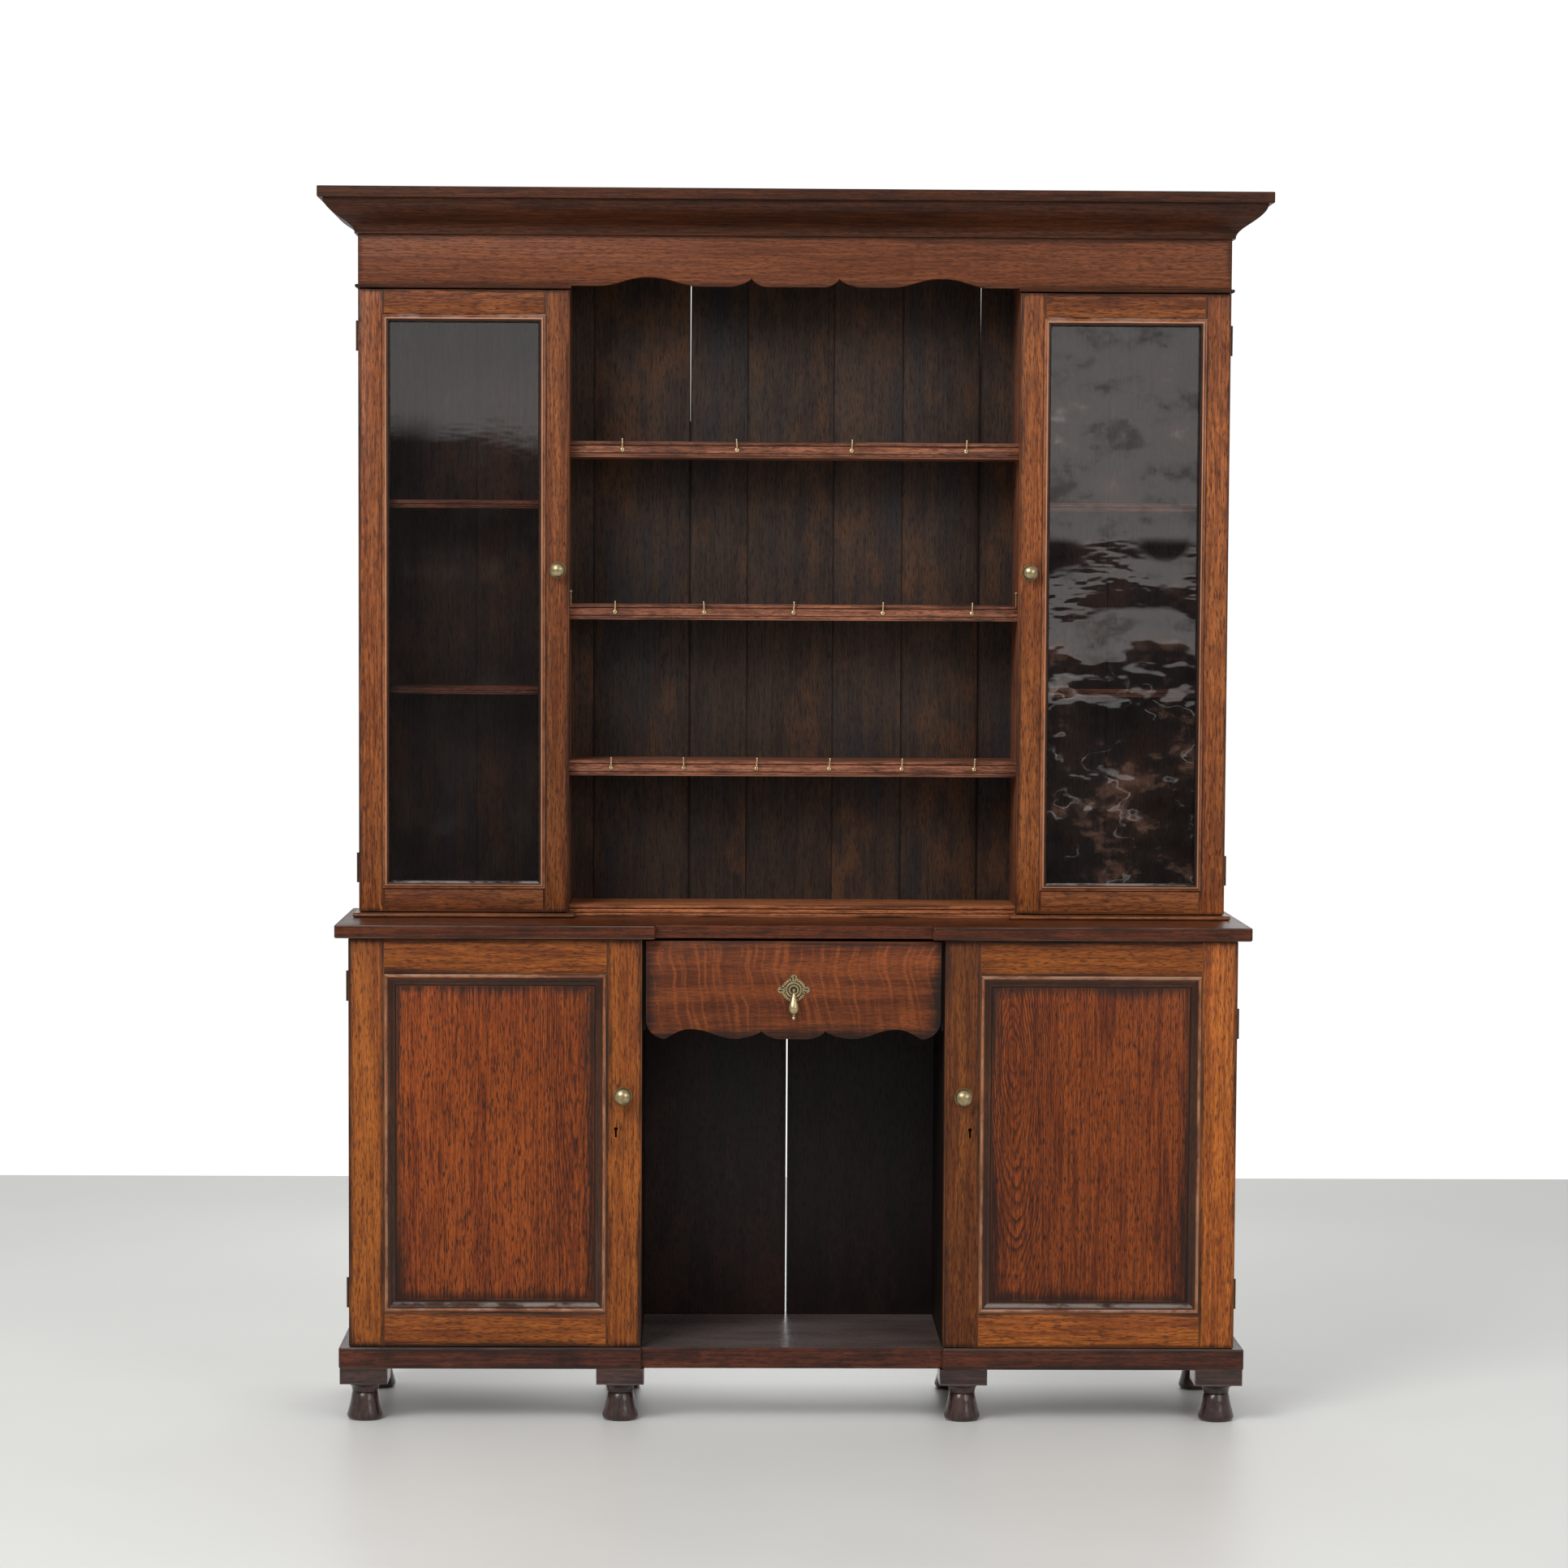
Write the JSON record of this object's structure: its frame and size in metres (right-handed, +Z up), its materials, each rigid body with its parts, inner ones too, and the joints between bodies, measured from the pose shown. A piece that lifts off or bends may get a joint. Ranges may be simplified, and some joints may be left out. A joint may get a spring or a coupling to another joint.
{
  "type": "buffet cabinet",
  "caption": "Oak dresser with glazed cupboards beside an open plate rack, panelled cupboards and a drawer over an open kennel, standing on turned feet.",
  "frame": {"origin": "centre of the bounding box at floor level, between the feet", "axes": "+X to the viewer's right, +Y from the front to the back, +Z up"},
  "size_m": [1.638, 0.412, 2.112],
  "materials": {
    "oak": "aged reddish-brown polished oak, satin",
    "dark_oak": "unpolished dark oak boards, matt",
    "figured_oak": "figured reddish-brown oak, satin",
    "brass": "worn brass with a brown patina",
    "old_iron": "browned iron, dull",
    "glass": "old window glass, slightly wavy"
  },
  "bodies": {
    "case": {"base_board": "oak", "foot_blocks": "oak", "turned_feet": "oak", "lower_sides": "oak", "kennel_sides": "oak", "lower_back_boards": "dark_oak", "cupboard_shelves": "dark_oak", "worktop": "oak", "drawer_runners": "dark_oak", "drawer_guides": "oak", "upper_sides": "oak", "rack_sides": "oak", "upper_back_boards": "dark_oak", "plate_shelves": "oak", "bottom_boards": "oak", "glazed_cupboard_shelves": "oak", "frieze": "oak", "frieze_beads": "oak", "base_beads": "oak", "cornice": "oak", "top_board": "dark_oak", "cup_hooks": "brass", "case_hinge_leaves": "old_iron", "hinge_pins": "old_iron", "hook_screws": "brass"},
    "drawer": {"drawer_front": "figured_oak", "drawer_box": "dark_oak", "drawer_bottom": "dark_oak", "handle_plate": "brass"},
    "handle_drop": {"handle_drop": "brass"},
    "lower_door_left": {"lower_door_frame_left": "oak", "lower_door_panel_left": "oak", "lower_door_moulding_left": "oak", "lower_door_knob_left": "brass", "lower_door_hinge_leaves_left": "old_iron", "lock_case_left": "old_iron"},
    "lock_bolt_left": {"lock_bolt_left": "old_iron"},
    "glazed_door_left": {"glazed_door_frame_left": "oak", "glazed_door_moulding_left": "oak", "glazed_door_fillets_left": "oak", "glazed_door_glass_left": "glass", "glazed_door_knob_left": "brass", "glazed_door_hinge_leaves_left": "old_iron", "glazed_door_eye_left": "brass"},
    "wire_hook_left": {"wire_hook_left": "brass"},
    "lower_door_right": {"lower_door_frame_right": "oak", "lower_door_panel_right": "oak", "lower_door_moulding_right": "oak", "lower_door_knob_right": "brass", "lower_door_hinge_leaves_right": "old_iron", "lock_case_right": "old_iron"},
    "lock_bolt_right": {"lock_bolt_right": "old_iron"},
    "glazed_door_right": {"glazed_door_frame_right": "oak", "glazed_door_moulding_right": "oak", "glazed_door_fillets_right": "oak", "glazed_door_glass_right": "glass", "glazed_door_knob_right": "brass", "glazed_door_hinge_leaves_right": "old_iron", "glazed_door_eye_right": "brass"},
    "wire_hook_right": {"wire_hook_right": "brass"}
  },
  "joints": [
    {"name": "lower_door_hinge_left", "type": "hinge", "parent": "case", "child": "lower_door_left", "pos_m": [-0.7623, -0.1577, 0.48], "axis": [0, 0, -1], "range_deg": [0, 170]},
    {"name": "glazed_door_hinge_left", "type": "hinge", "parent": "case", "child": "glazed_door_left", "pos_m": [-0.7568, 0.0123, 1.4], "axis": [0, 0, -1], "range_deg": [0, 170]},
    {"name": "lock_bolt_slide_left", "type": "slide", "parent": "lower_door_left", "child": "lock_bolt_left", "axis": [1, 0, 0], "range_m": [0, 0.008]},
    {"name": "wire_hook_swing_left", "type": "hinge", "parent": "case", "child": "wire_hook_left", "pos_m": [-0.3874, 0.0176, 1.42407], "axis": [-1, 0, 0], "range_deg": [0, 75]},
    {"name": "lower_door_hinge_right", "type": "hinge", "parent": "case", "child": "lower_door_right", "pos_m": [0.7623, -0.1577, 0.48], "axis": [0, 0, 1], "range_deg": [0, 170]},
    {"name": "glazed_door_hinge_right", "type": "hinge", "parent": "case", "child": "glazed_door_right", "pos_m": [0.7568, 0.0123, 1.4], "axis": [0, 0, 1], "range_deg": [0, 170]},
    {"name": "lock_bolt_slide_right", "type": "slide", "parent": "lower_door_right", "child": "lock_bolt_right", "axis": [-1, 0, 0], "range_m": [0, 0.008]},
    {"name": "wire_hook_swing_right", "type": "hinge", "parent": "case", "child": "wire_hook_right", "pos_m": [0.3874, 0.0176, 1.42407], "axis": [-1, 0, 0], "range_deg": [0, 75]},
    {"name": "drawer_slide", "type": "slide", "parent": "case", "child": "drawer", "axis": [0, -1, 0], "range_m": [0, 0.24]},
    {"name": "handle_drop_swing", "type": "hinge", "parent": "drawer", "child": "handle_drop", "pos_m": [0, -0.1769, 0.746], "axis": [-1, 0, 0], "range_deg": [0, 85]}
  ]
}
